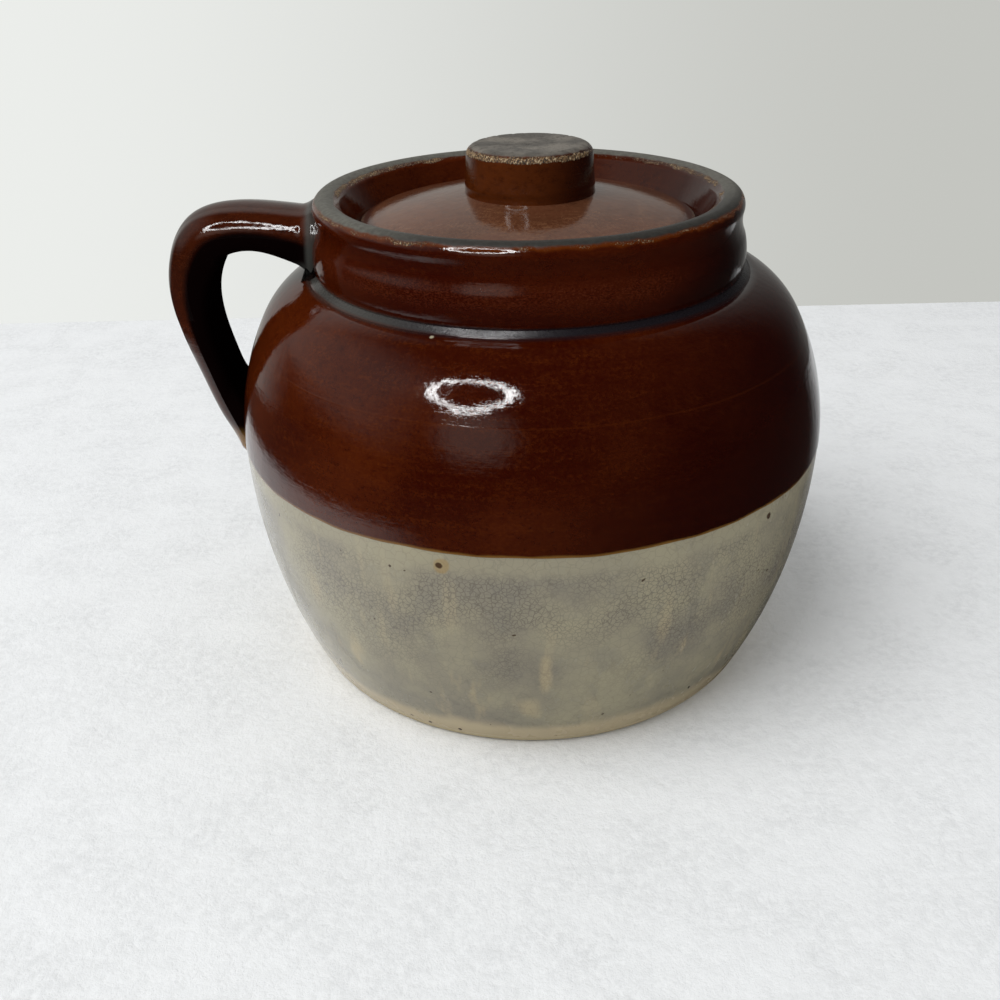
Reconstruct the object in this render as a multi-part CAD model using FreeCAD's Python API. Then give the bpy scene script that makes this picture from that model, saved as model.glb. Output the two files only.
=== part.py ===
import FreeCAD, Part
import math
import os

# A lidded stoneware bean pot: a wide vessel formed in two halves, one strap handle, a lid that
# drops into a seat inside the mouth, and the fired glaze coats over the clay.
# Millimetres, +Z up. The origin is the centre of the foot; the handle points along -X.

os.makedirs("parts", exist_ok=True)
Vec = FreeCAD.Vector
AXIS = Vec(0, 0, 1)
ORIGIN = Vec(0, 0, 0)

# Fired glaze
glaze_thickness = 0.4
glaze_line_height = 76.0       # where the brown upper glaze meets the buff lower glaze
bare_foot_height = 2.5         # clay wiped clean of glaze above the foot

# Outside of the vessel, in bare clay
belly_radius = 92.5
belly_height = 73.0
foot_radius = 76.8
foot_edge_round = 1.0
shoulder_sweep_radius = 79.6   # large arc from the belly up to the shoulder
shoulder_break_height = 112.0  # where that arc gives way to the tighter shoulder arc
shoulder_radius = 27.6         # the tighter arc, rolling over to the neck
neck_groove_radius = 67.2      # outside edge of the groove at the foot of the collar
neck_groove_rise = 1.8         # the collar springs from the groove this far above that edge
groove_turn_share = 0.15       # how square the bottom of the groove is; 0 is a sharp corner
seam_height = 108.5            # level seam where the two formed halves were joined

# Collar and rim
collar_height = 20.9           # from the groove to the top of the rim
collar_radius = 64.9
collar_foot_set_in = 0.3
collar_swell_rise = 5.4        # height of the fullest part of the collar over its foot
collar_waist_radius = 63.0
collar_waist_rise = 13.2
collar_turn_share = 0.6        # how full the collar still is midway between swell and waist
rim_radius = 63.3
rim_shoulder_drop = 3.8        # the outside corner of the rim starts this far below its top
rim_crown_radius = 60.4        # radius of the highest ring of the rim
mouth_radius = 55.9
mouth_edge_drop = 1.8
mouth_turn_share = 0.32        # share of that drop reached midway from the crown to the edge

# Walls, floor and the lid seat
wall = 6.5
floor_thickness = 9.0
floor_corner_radius = 14.0
neck_wall_extra = 1.5          # the wall is thicker by this much behind the groove
seat_depth = 12.3              # the seat lies this far below the top of the rim
seat_outer_radius = 51.2
throat_radius = 45.0
throat_depth = 4.2             # height of the plain throat under the seat
gallery_slope_drop = 6.0       # the underside of the seat falls this far to the neck wall

# Handle: a strap, thick at the collar and thin where it dies into the belly.
# Each station lies on its outer face: distance out, height, and strap thickness there.
handle_width = 24.2
handle_outer_round = 5.5
handle_inner_round = 2.6
# measured from the collar radius and the top of the rim
handle_root = (-6.9, -4.7, 18.0)
handle_neck = (5.1, -3.1, 14.0)
handle_crest = (15.6, -1.9, 12.2)
# measured from the belly radius and the top of the rim
handle_bend = (8.2, -5.6, 15.2)
# measured from the belly radius and the belly height
handle_reach = (16.9, 49.6, 13.5)
handle_shank = (11.3, 20.9, 9.4)
handle_tail = (3.9, 0.5, 9.4)
handle_tip = (-3.0, -8.4, 9.2)

# Lid
lid_seat_clearance = 0.5
lid_edge_rise = 4.3
lid_edge_straight = 1.9        # plain part of the lid's edge, below its bevel
lid_edge_set_in = 1.0
lid_margin_width = 2.8
lid_margin_rise = 1.3
lid_dome_rise = 6.5
lid_crown_thickness = 6.0
flange_clearance = 1.2
flange_depth = 5.0
flange_width = 5.5

# Knob
knob_radius = 19.0
knob_top_radius = 18.3
knob_rise = 12.9               # top of the knob over the crown of the lid
knob_sink = 1.0                # depth to which the knob is let into the lid
knob_foot_flare = 1.1
knob_flare_height = 2.2
knob_flare_turn_share = 0.3
knob_edge_round = 2.6
knob_offset = 0.8              # the knob was set slightly off centre, away from the handle


def at(radius, height):
    return Vec(radius, 0, height)


def arc(start, middle, end):
    return Part.Arc(at(*start), at(*middle), at(*end)).toShape()


def line(start, end):
    return Part.LineSegment(at(*start), at(*end)).toShape()


def onCircle(centre, radius, angle):
    return (centre[0] + radius * math.cos(angle), centre[1] + radius * math.sin(angle))


def between(start, end, share):
    return (start[0] + (end[0] - start[0]) * share, start[1] + (end[1] - start[1]) * share)


def face(edges):
    return Part.Face(Part.Wire(Part.__sortEdges__(edges)))


def window(low_radius, high_radius, low, high):
    """A rectangle in the XZ plane, for trimming sections."""
    corners = [(low_radius, low), (high_radius, low), (high_radius, high), (low_radius, high)]
    return Part.Face(Part.makePolygon([at(*corner) for corner in corners + corners[:1]]))


def spin(outline):
    """One solid of revolution from a section of one face."""
    turned = outline.Faces[0].revolve(ORIGIN, AXIS, 360)
    return Part.makeSolid(turned.Shells[0])


# Arc centres of the outside, each arc tangent to the next.
lower_bulge = belly_radius - foot_radius
lower_arc_radius = (lower_bulge ** 2 + belly_height ** 2) / (2 * lower_bulge)
lower_centre = (belly_radius - lower_arc_radius, belly_height)
foot_angle = -math.asin(belly_height / lower_arc_radius)
foot_round_angle = 2 * foot_edge_round / lower_arc_radius
sweep_centre = (belly_radius - shoulder_sweep_radius, belly_height)
break_angle = math.asin((shoulder_break_height - belly_height) / shoulder_sweep_radius)
shoulder_centre = onCircle(sweep_centre, shoulder_sweep_radius - shoulder_radius, break_angle)
neck_angle = math.acos((neck_groove_radius - shoulder_centre[0]) / shoulder_radius)
neck_height = shoulder_centre[1] + shoulder_radius * math.sin(neck_angle)

# Levels that follow from them.
collar_foot_height = neck_height + neck_groove_rise
rim_height = collar_foot_height + collar_height
seat_height = rim_height - seat_depth
gallery_height = seat_height - throat_depth - gallery_slope_drop
reach_all = 2 * (belly_radius + rim_height)


def vesselOutside(coat):
    """Outside of the vessel from the middle of its foot to the mouth, over a coat of glaze."""
    foot_start = (foot_radius - foot_edge_round, 0)
    wall_start = onCircle(lower_centre, lower_arc_radius + coat, foot_angle + foot_round_angle)
    lower_middle = onCircle(lower_centre, lower_arc_radius + coat, foot_angle / 2)
    belly = (belly_radius + coat, belly_height)
    sweep_middle = onCircle(sweep_centre, shoulder_sweep_radius + coat, break_angle / 2)
    shoulder_break = onCircle(sweep_centre, shoulder_sweep_radius + coat, break_angle)
    shoulder_middle = onCircle(shoulder_centre, shoulder_radius + coat, (break_angle + neck_angle) / 2)
    neck = onCircle(shoulder_centre, shoulder_radius + coat, neck_angle)
    collar_foot = (collar_radius - collar_foot_set_in + coat, collar_foot_height)
    groove_corner = (collar_foot[0], neck[1])
    groove_middle = between(groove_corner, (neck[0], collar_foot[1]), groove_turn_share)
    collar_swell = (collar_radius + coat, collar_foot_height + collar_swell_rise)
    collar_turn = (
        collar_waist_radius + (collar_radius - collar_waist_radius) * collar_turn_share + coat,
        collar_foot_height + (collar_swell_rise + collar_waist_rise) / 2,
    )
    collar_waist = (collar_waist_radius + coat, collar_foot_height + collar_waist_rise)
    rim_corner = (rim_radius + coat, rim_height - rim_shoulder_drop)
    rim_crown = (rim_crown_radius, rim_height + coat)
    rim_turn = (
        rim_crown[0] + (rim_corner[0] - rim_crown[0]) * math.sin(math.pi / 4),
        rim_corner[1] + (rim_crown[1] - rim_corner[1]) * math.cos(math.pi / 4),
    )
    mouth_edge = (mouth_radius - coat, rim_height - mouth_edge_drop)
    mouth_middle = ((rim_crown[0] + mouth_edge[0]) / 2, rim_crown[1] - mouth_edge_drop * mouth_turn_share)
    return [
        line((0, 0), foot_start),
        line(foot_start, wall_start),
        arc(wall_start, lower_middle, belly),
        arc(belly, sweep_middle, shoulder_break),
        arc(shoulder_break, shoulder_middle, neck),
        arc(neck, groove_middle, collar_foot),
        arc(collar_foot, collar_swell, collar_turn),
        arc(collar_turn, collar_waist, rim_corner),
        arc(rim_corner, rim_turn, rim_crown),
        arc(rim_crown, mouth_middle, mouth_edge),
    ]


def vesselInside(coat):
    """Inside of the vessel from the mouth to the middle of its floor, over a coat of glaze."""
    wall_in = wall + coat
    mouth_edge = (mouth_radius - coat, rim_height - mouth_edge_drop)
    seat_edge = (seat_outer_radius - coat, seat_height)
    throat_top = (throat_radius - coat, seat_height)
    throat_foot = (throat_radius - coat, seat_height - throat_depth - coat)
    gallery_foot = (neck_groove_radius - wall_in - neck_wall_extra, gallery_height - coat)
    inner_neck_angle = math.acos((gallery_foot[0] - shoulder_centre[0]) / (shoulder_radius - wall_in))
    neck_wall = onCircle(shoulder_centre, shoulder_radius - wall_in, inner_neck_angle)
    neck_middle = onCircle(shoulder_centre, shoulder_radius - wall_in, (break_angle + inner_neck_angle) / 2)
    inner_break = onCircle(shoulder_centre, shoulder_radius - wall_in, break_angle)
    sweep_middle = onCircle(sweep_centre, shoulder_sweep_radius - wall_in, break_angle / 2)
    inner_belly = (belly_radius - wall_in, belly_height)
    corner_radius = floor_corner_radius - coat
    corner_reach = lower_arc_radius - wall_in - corner_radius
    corner_angle = math.asin((floor_thickness + floor_corner_radius - belly_height) / corner_reach)
    corner_centre = onCircle(lower_centre, corner_reach, corner_angle)
    lower_middle = onCircle(lower_centre, lower_arc_radius - wall_in, corner_angle / 2)
    wall_foot = onCircle(lower_centre, lower_arc_radius - wall_in, corner_angle)
    corner_middle = onCircle(corner_centre, corner_radius, (corner_angle - math.pi / 2) / 2)
    floor_edge = (corner_centre[0], floor_thickness + coat)
    return [
        line((0, mouth_edge[1]), mouth_edge),
        line(mouth_edge, seat_edge),
        line(seat_edge, throat_top),
        line(throat_top, throat_foot),
        line(throat_foot, gallery_foot),
        line(gallery_foot, neck_wall),
        arc(neck_wall, neck_middle, inner_break),
        arc(inner_break, sweep_middle, inner_belly),
        arc(inner_belly, lower_middle, wall_foot),
        arc(wall_foot, corner_middle, floor_edge),
        line(floor_edge, (0, floor_thickness + coat)),
        line((0, floor_thickness + coat), (0, mouth_edge[1])),
    ]


def filledVessel(coat):
    """Section of the vessel as if it were solid, closed across the mouth."""
    edge_height = rim_height - mouth_edge_drop
    closing = [line((mouth_radius - coat, edge_height), (0, edge_height)), line((0, edge_height), (0, 0))]
    return face(vesselOutside(coat) + closing)


def handleSolid():
    """The strap as pulled, before it is trimmed to the vessel."""
    from_collar = [(collar_radius, rim_height)] * 3
    from_belly = [(belly_radius, rim_height)] + [(belly_radius, belly_height)] * 4
    stations = [handle_root, handle_neck, handle_crest, handle_bend]
    stations += [handle_reach, handle_shank, handle_tail, handle_tip]
    places = []
    for start, station in zip(from_collar + from_belly, stations):
        places.append(Vec(-start[0] - station[0], 0, start[1] + station[1]))
    outer = Part.BSplineCurve()
    outer.interpolate(places)
    inner_places = []
    for place, station in zip(places, stations):
        along = outer.tangent(outer.parameter(place))[0]
        inner_places.append(place + Vec(-along.z, 0, along.x) * station[2])
    inner = Part.BSplineCurve()
    inner.interpolate(inner_places)
    ends = [
        Part.LineSegment(outer.StartPoint, inner.StartPoint).toShape(),
        Part.LineSegment(outer.EndPoint, inner.EndPoint).toShape(),
    ]
    side = face([outer.toShape(), inner.toShape()] + ends)
    side.translate(Vec(0, -handle_width / 2, 0))
    strap = side.extrude(Vec(0, handle_width, 0))
    strap = strap.makeFillet(handle_outer_round, longEdges(broadFaces(strap)[0]))
    return strap.makeFillet(handle_inner_round, longEdges(broadFaces(strap)[1]))


def broadFaces(strap):
    """The strap's outer and inner faces: the two largest curved ones across its width."""
    curved = [item for item in strap.Faces if item.Surface.TypeId != "Part::GeomPlane"]
    middle = [item for item in curved if abs(item.BoundBox.Center.y) < handle_inner_round / 2]
    middle.sort(key=lambda item: item.Area, reverse=True)
    return sorted(middle[:2], key=lambda item: item.BoundBox.XMin)


def longEdges(side):
    """The edges of a strap face that run along the handle."""
    return [edge for edge in side.Edges if edge.BoundBox.YLength < handle_inner_round / 2]


# Vessel: two halves of clay, and the coats that were poured over and into it.
cavity = face(vesselInside(0))
clay = filledVessel(0).cut(cavity)
lower_body = spin(clay.common(window(0, reach_all, 0, seam_height)))
upper_body = spin(clay.common(window(0, reach_all, seam_height, reach_all)))
outer_coat = filledVessel(glaze_thickness).cut(filledVessel(0))
cone_coat = cavity.cut(face(vesselInside(glaze_thickness)))
buff_section = outer_coat.common(window(0, reach_all, bare_foot_height, glaze_line_height))
brown_section = outer_coat.common(window(0, reach_all, glaze_line_height, reach_all))
mouth_section = cone_coat.common(window(0, reach_all, seat_height, reach_all))
brown_section = brown_section.fuse(mouth_section).removeSplitter()
liner_glaze = spin(cone_coat.common(window(0, reach_all, 0, seat_height)))

# Handle: it springs from the clay, and the coats stop at its roots.
strap = handleSolid()
handle = strap.cut(spin(filledVessel(0)))
buff_glaze = spin(buff_section).cut(strap)
brown_glaze = spin(brown_section).cut(strap)

# Lid: domed above, with a bevelled margin, a flat seating face and a locating flange below.
lid_radius = seat_outer_radius - glaze_thickness - lid_seat_clearance
margin_radius = lid_radius - lid_edge_set_in
margin_height = seat_height + lid_edge_rise
dome_radius = margin_radius - lid_margin_width
dome_height = margin_height + lid_margin_rise
lid_top = dome_height + lid_dome_rise
dome_sphere = (dome_radius ** 2 + lid_dome_rise ** 2) / (2 * lid_dome_rise)
flange_radius = throat_radius - glaze_thickness - flange_clearance
flange_foot = seat_height - flange_depth
flange_inside = flange_radius - flange_width
edge_level = seat_height + lid_edge_straight


def domeHeight(radius):
    return lid_top - dome_sphere + math.sqrt(dome_sphere ** 2 - radius ** 2)


def lidSection(coat):
    """Half section of the lid, over a coat of glaze on its upper side."""
    under_top = domeHeight(0) - lid_crown_thickness
    under_middle = (flange_inside / 2, domeHeight(flange_inside / 2) - lid_crown_thickness)
    under_edge = (flange_inside, domeHeight(flange_inside) - lid_crown_thickness)
    dome_middle = (dome_radius / 2, domeHeight(dome_radius / 2) + coat)
    return face([
        line((0, under_top), (0, lid_top + coat)),
        arc((0, lid_top + coat), dome_middle, (dome_radius, dome_height + coat)),
        line((dome_radius, dome_height + coat), (margin_radius + coat, margin_height)),
        line((margin_radius + coat, margin_height), (lid_radius, edge_level)),
        line((lid_radius, edge_level), (lid_radius, seat_height)),
        line((lid_radius, seat_height), (flange_radius, seat_height)),
        line((flange_radius, seat_height), (flange_radius, flange_foot)),
        line((flange_radius, flange_foot), (flange_inside, flange_foot)),
        line((flange_inside, flange_foot), under_edge),
        arc(under_edge, under_middle, (0, under_top)),
    ])


# Knob: a squat turned button luted on the crown of the lid.
flare_foot = domeHeight(knob_radius)
flare_top = flare_foot + knob_flare_height
knob_top = lid_top + knob_rise
knob_foot = flare_foot - knob_sink


def knobSection(coat):
    """Half section of the knob, over a coat of glaze on its side."""
    side = knob_radius + coat
    edge_centre = (knob_top_radius - knob_edge_round, knob_top - knob_edge_round)
    edge_start = (knob_top_radius + coat, edge_centre[1])
    flare_middle = (side + knob_foot_flare * knob_flare_turn_share,
                    flare_foot + knob_flare_height * knob_flare_turn_share)
    return face([
        line((0, knob_foot), (side + knob_foot_flare, knob_foot)),
        line((side + knob_foot_flare, knob_foot), (side + knob_foot_flare, flare_foot)),
        arc((side + knob_foot_flare, flare_foot), flare_middle, (side, flare_top)),
        line((side, flare_top), edge_start),
        arc(edge_start, onCircle(edge_centre, knob_edge_round, math.pi / 4), (edge_centre[0], knob_top)),
        line((edge_centre[0], knob_top), (0, knob_top)),
        line((0, knob_top), (0, knob_foot)),
    ])


def setOff(solid):
    solid.translate(Vec(knob_offset, 0, 0))
    return solid


lid_plate = spin(lidSection(0))
knob_blank = setOff(spin(knobSection(0)))
knob_coat = knobSection(glaze_thickness).cut(knobSection(0))
knob_coat = knob_coat.common(window(0, reach_all, flare_foot, knob_top - knob_edge_round))
lid_knob = knob_blank.cut(lid_plate)
lid_glaze = spin(lidSection(glaze_thickness).cut(lidSection(0))).cut(knob_blank)
knob_glaze = setOff(spin(knob_coat)).cut(lid_plate).cut(lid_glaze)

nodes = {
    "lower_body": lower_body,
    "upper_body": upper_body,
    "buff_glaze": buff_glaze,
    "brown_glaze": brown_glaze,
    "liner_glaze": liner_glaze,
    "handle": handle,
    "lid_plate": lid_plate,
    "lid_glaze": lid_glaze,
    "lid_knob": lid_knob,
    "knob_glaze": knob_glaze,
}
for name, item in nodes.items():
    item.exportStep("parts/" + name + ".step")
    print(name, "valid", item.isValid(), "solids", [round(solid.Volume, 1) for solid in item.Solids])
litre = 1e6
print("brimful litres", round(spin(cavity).Volume / litre, 3))
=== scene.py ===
import math
import bpy
import numpy as np
from mathutils import Matrix, Vector, noise


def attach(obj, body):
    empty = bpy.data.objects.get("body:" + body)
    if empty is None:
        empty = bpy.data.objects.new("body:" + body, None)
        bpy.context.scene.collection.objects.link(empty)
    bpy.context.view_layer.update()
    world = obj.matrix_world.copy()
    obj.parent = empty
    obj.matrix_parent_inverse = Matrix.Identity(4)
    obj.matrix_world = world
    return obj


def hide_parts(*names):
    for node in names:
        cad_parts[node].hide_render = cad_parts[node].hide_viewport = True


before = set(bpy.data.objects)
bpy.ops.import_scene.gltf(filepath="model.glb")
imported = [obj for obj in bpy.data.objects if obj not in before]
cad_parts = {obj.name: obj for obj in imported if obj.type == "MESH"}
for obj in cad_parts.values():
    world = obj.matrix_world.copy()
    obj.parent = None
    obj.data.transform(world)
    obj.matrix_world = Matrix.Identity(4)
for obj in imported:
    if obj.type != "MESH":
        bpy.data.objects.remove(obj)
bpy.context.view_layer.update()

mm = 0.001  # sizes below are in millimetres, as they are on the pot


# helpers for shader trees

graph = {}  # holds the node tree that is being built


def startTree(owner):
    owner.use_nodes = True
    owner.node_tree.nodes.clear()
    graph["tree"] = owner.node_tree


def joinTo(node, values):
    for name, value in values.items():
        graph["tree"].links.new(value, node.inputs[name])


def addNode(kind, inputs=None, **settings):
    node = graph["tree"].nodes.new(kind)
    for name, value in settings.items():
        setattr(node, name, value)
    for name, value in (inputs or {}).items():
        if isinstance(value, bpy.types.NodeSocket):
            joinTo(node, {name: value})
        else:
            node.inputs[name].default_value = value
    return node


def calc(operation, first, second=0.0, clamp=False):
    return addNode("ShaderNodeMath", {0: first, 1: second}, operation=operation, use_clamp=clamp).outputs[0]


def vectorCalc(operation, first, second=(1, 1, 1)):
    node = addNode("ShaderNodeVectorMath", {0: first, 1: second}, operation=operation)
    return node.outputs["Value" if operation == "LENGTH" else "Vector"]


def ramp(value, low, high):
    # 0 below low and 1 above high, or the other way round
    return addNode("ShaderNodeMapRange", {"Value": value, "From Min": low, "From Max": high},
                   interpolation_type="SMOOTHSTEP").outputs[0]


def band(value, low, high, soft):
    rise = ramp(value, low - soft, low + soft)
    fall = ramp(value, high + soft, high - soft)
    return calc("MULTIPLY", rise, fall)


def both(*values):
    # all the values multiplied
    product = values[0]
    for value in values[1:]:
        product = calc("MULTIPLY", product, value)
    return product


def total(*values):
    result = values[0]
    for value in values[1:]:
        result = calc("ADD", result, value)
    return result


def mixColour(mask, first, second):
    return addNode("ShaderNodeMix", {0: mask, 6: first, 7: second}, data_type="RGBA").outputs[2]


def mixValue(mask, first, second):
    return addNode("ShaderNodeMix", {0: mask, 2: first, 3: second}, data_type="FLOAT").outputs[0]


def grain(vector, scale, detail=2.0, roughness=0.5, stretch=(1, 1, 1), offset=0.0):
    placed = vectorCalc("MULTIPLY", vector, stretch)
    if offset:
        placed = vectorCalc("ADD", placed, (offset, offset, offset))
    settings = {"Vector": placed, "Scale": scale, "Detail": detail, "Roughness": roughness}
    return addNode("ShaderNodeTexNoise", settings).outputs[0]


def patches(vector, settings):
    # noise cut to soft-edged patches: what grain takes, then where a patch starts and where it is full
    *texture, low, high = settings
    return ramp(grain(vector, *texture), low, high)


def centred(vector, texture, width):
    # noise that wanders either side of nothing
    return both(calc("SUBTRACT", grain(vector, *texture), 0.5), width)


def colour(red, green, blue):
    # screen colour, 0 to 255, to the linear colour that a shader takes
    channels = [channel / 255 for channel in (red, green, blue)]
    return [c / 12.92 if c < 0.04045 else ((c + 0.055) / 1.055) ** 2.4 for c in channels] + [1]


def paint(tint, mask, tone, share=1.0):
    # lay a tone over the tint, as strongly as the mask and the share say
    return mixColour(both(mask, share), tint, colour(*tone))


def newGroup(name, inputs, outputs):
    tree = bpy.data.node_groups.new(name, "ShaderNodeTree")
    for label, kind in inputs:
        tree.interface.new_socket(label, in_out="INPUT", socket_type="NodeSocket" + kind)
    for label, kind in outputs:
        tree.interface.new_socket(label, in_out="OUTPUT", socket_type="NodeSocket" + kind)
    graph["tree"] = tree
    return tree, addNode("NodeGroupInput").outputs, addNode("NodeGroupOutput")


def useGroup(group, inputs):
    return addNode("ShaderNodeGroup", inputs, node_tree=group).outputs


# shared effects

def makePlaceGroup():
    # where a point lies on the turned pot, in millimetres
    tree, given, result = newGroup("placeOnPot", [("Vector", "Vector")],
                                   [("Place", "Vector"), ("Radius", "Float"), ("Height", "Float")])
    place = vectorCalc("MULTIPLY", given["Vector"], (1000, 1000, 1000))
    radius = vectorCalc("LENGTH", vectorCalc("MULTIPLY", place, (1, 1, 0)))
    height = addNode("ShaderNodeSeparateXYZ", {0: place}).outputs["Z"]
    joinTo(result, {"Place": place, "Radius": radius, "Height": height})
    return tree


mottle = dict(
    # patches: scale, detail, roughness, stretch, offset, start, full
    cloud=(0.022, 3.0, 0.5, (1, 1, 1), 0.0, 0.34, 0.66),
    streak=(0.06, 5.0, 0.65, (1, 1, 9), 31.0, 0.4, 0.7),
    fine=(0.95, 4.0, 0.7, (1, 1, 1.4), 7.0, 0.32, 0.8),
    dark=(0.3, 5.0, 0.75, (1, 1, 1.6), 57.0, 0.48, 0.74),
    darkShare=0.7, leastFlecked=0.5,
    peel=(0.35, 2.0), peelRise=0.5, pits=(1.9, 2.0, 0.6), pitRise=0.05,
    fineRise=0.03, streakRise=0.1,
    roughness=0.045, fineRoughness=0.05,
)


def makeMottleGroup():
    # brown glaze: soft clouds, level streaks left by the wheel, and fine flecks where the glaze broke
    tree, given, result = newGroup(
        "glazeMottle",
        [("Place", "Vector"), ("Deep", "Color"), ("Body", "Color"), ("Fleck", "Color"),
         ("Fleck Amount", "Float")],
        [("Colour", "Color"), ("Height", "Float"), ("Roughness", "Float")])
    place, m = given["Place"], mottle
    cloud, streak, fine, dark = (patches(place, m[name]) for name in ("cloud", "streak", "fine", "dark"))
    body = mixColour(cloud, given["Deep"], given["Body"])
    flecked = both(fine, calc("ADD", m["leastFlecked"], streak), given["Fleck Amount"])
    body = mixColour(flecked, body, given["Fleck"])
    body = mixColour(both(dark, m["darkShare"]), body, given["Deep"])
    relief = total(both(grain(place, *m["peel"]), m["peelRise"]), both(fine, m["fineRise"]),
                   both(grain(place, *m["pits"]), m["pitRise"]), both(streak, m["streakRise"]))
    rough = calc("ADD", m["roughness"], both(fine, m["fineRoughness"]))
    joinTo(result, {"Colour": body, "Height": relief, "Roughness": rough})
    return tree


crazeWarp = dict(scale=0.6, detail=3.0, width=1.1)


def makeCrazeGroup():
    # hair-fine crack net in a clear glaze
    tree, given, result = newGroup("crazeNet", [("Place", "Vector"), ("Cell", "Float"), ("Width", "Float")],
                                   [("Mask", "Float")])
    place, c = given["Place"], crazeWarp
    settings = {"Vector": place, "Scale": c["scale"], "Detail": c["detail"]}
    warp = addNode("ShaderNodeTexNoise", settings).outputs[1]
    warped = vectorCalc("ADD", place, vectorCalc("MULTIPLY", warp, (c["width"],) * 3))
    cells = {"Vector": warped, "Scale": calc("DIVIDE", 1.0, given["Cell"])}
    edges = addNode("ShaderNodeTexVoronoi", cells, feature="DISTANCE_TO_EDGE").outputs["Distance"]
    near = calc("SUBTRACT", 1.0, calc("DIVIDE", edges, given["Width"]), True)
    joinTo(result, {"Mask": near})
    return tree


wornGrit = dict(
    grit=(2.6, 3.0, 0.75, (1, 1, 1), 11.0), kinds=(2.2, 2.0, 0.7, (1, 1, 1), 83.0),
    black=(46, 34, 24), ochre=(118, 86, 48), cream=(180, 162, 130),
    ochreFrom=(0.44, 0.5), creamFrom=(0.55, 0.62),
    level=0.7, grainEdge=0.12, bandEdge=0.25,
)


def makeWearGroup():
    # a fired edge where glaze ran thin: gritty flecks in cream, ochre and black
    tree, given, result = newGroup(
        "wornEdge",
        [("Place", "Vector"), ("Band", "Float"), ("Cover", "Float")],
        [("Colour", "Color"), ("Mask", "Float"), ("Height", "Float")])
    place, w = given["Place"], wornGrit
    grit, kinds = (grain(place, *w[name]) for name in ("grit", "kinds"))
    tint = mixColour(ramp(kinds, *w["ochreFrom"]), colour(*w["black"]), colour(*w["ochre"]))
    tint = paint(tint, ramp(kinds, *w["creamFrom"]), w["cream"])
    level = calc("SUBTRACT", 1.0, both(given["Band"], given["Cover"]))
    mask = ramp(calc("SUBTRACT", grit, both(level, w["level"])), 0.0, w["grainEdge"])
    mask = both(mask, ramp(given["Band"], 0.0, w["bandEdge"]))
    joinTo(result, {"Colour": tint, "Mask": mask, "Height": both(mask, grit)})
    return tree


placeGroup = makePlaceGroup()
mottleGroup = makeMottleGroup()
crazeGroup = makeCrazeGroup()
wearGroup = makeWearGroup()
print("shared effects made")


def newMaterial(name):
    material = bpy.data.materials.new(name)
    startTree(material)
    shader = addNode("ShaderNodeBsdfPrincipled")
    joinTo(addNode("ShaderNodeOutputMaterial"), {"Surface": shader.outputs[0]})
    here = useGroup(placeGroup, {"Vector": addNode("ShaderNodeTexCoord").outputs["Object"]})
    return material, shader, here


def finishSurface(shader, tint, roughness, relief, depth, gloss=0.2):
    shader.inputs["Specular IOR Level"].default_value = gloss
    bump = addNode("ShaderNodeBump", {"Height": relief, "Strength": 1.0, "Distance": depth * mm})
    joinTo(shader, {"Base Color": tint, "Roughness": roughness, "Normal": bump.outputs[0]})


def attribute(name):
    return addNode("ShaderNodeAttribute", attribute_name=name).outputs["Fac"]


spotShape = dict(grain=0.8, detail=3.0, outside=0.6, inside=0.4)


def mark(place, spot, raggedness=0.5):
    # 1 at one named spot on the pot and 0 away from it; size is across, and tall stretches it upward
    s = spotShape
    angle, size = math.radians(spot["angle"]), spot["size"]
    centre = (spot["radius"] * math.cos(angle), spot["radius"] * math.sin(angle), spot["height"])
    away = vectorCalc("SUBTRACT", place, centre)
    away = vectorCalc("MULTIPLY", away, (1, 1, 1 / spot.get("tall", 1)))
    ragged = centred(place, (s["grain"] / size, s["detail"]), raggedness * size)
    distance = calc("ADD", vectorCalc("LENGTH", away), ragged)
    return ramp(distance, size * s["outside"], size * spot.get("edge", s["inside"]))


# mesh helpers

def circleThrough(first, second, third):
    a, b, c = (complex(*point) for point in (first, second, third))
    w = (c - a) / (b - a)
    return (b - a) * (w - abs(w) ** 2) / (2j * w.imag) + a


def arcPoints(start, middle, end, spacing):
    # points from start up to but not including end, on the circle through all three
    centre = circleThrough(start, middle, end)
    a, b, c = (complex(*point) - centre for point in (start, middle, end))
    turn = np.angle(b / a) + np.angle(c / b)
    count = max(2, round(abs(turn) * abs(a) / spacing))
    points = [centre + a * np.exp(1j * turn * step / count) for step in range(count)]
    return [(p.real, p.imag) for p in points]


def linePoints(start, end, spacing):
    count = max(1, round(math.dist(start, end) / spacing))
    start, end = np.array(start), np.array(end)
    return [tuple(start + (end - start) * step / count) for step in range(count)]


def onCircle(centre, radius, angle):
    return (centre[0] + radius * math.cos(angle), centre[1] + radius * math.sin(angle))


def meshPiece(name, points, faces, materials, faceMaterials=None):
    mesh = bpy.data.meshes.new(name)
    mesh.from_pydata(points, [], faces)
    mesh.validate()
    for material in materials:
        mesh.materials.append(material)
    if faceMaterials is not None:
        mesh.polygons.foreach_set("material_index", faceMaterials)
    mesh.shade_smooth()
    piece = bpy.data.objects.new(name, mesh)
    bpy.context.scene.collection.objects.link(piece)
    return piece


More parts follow.
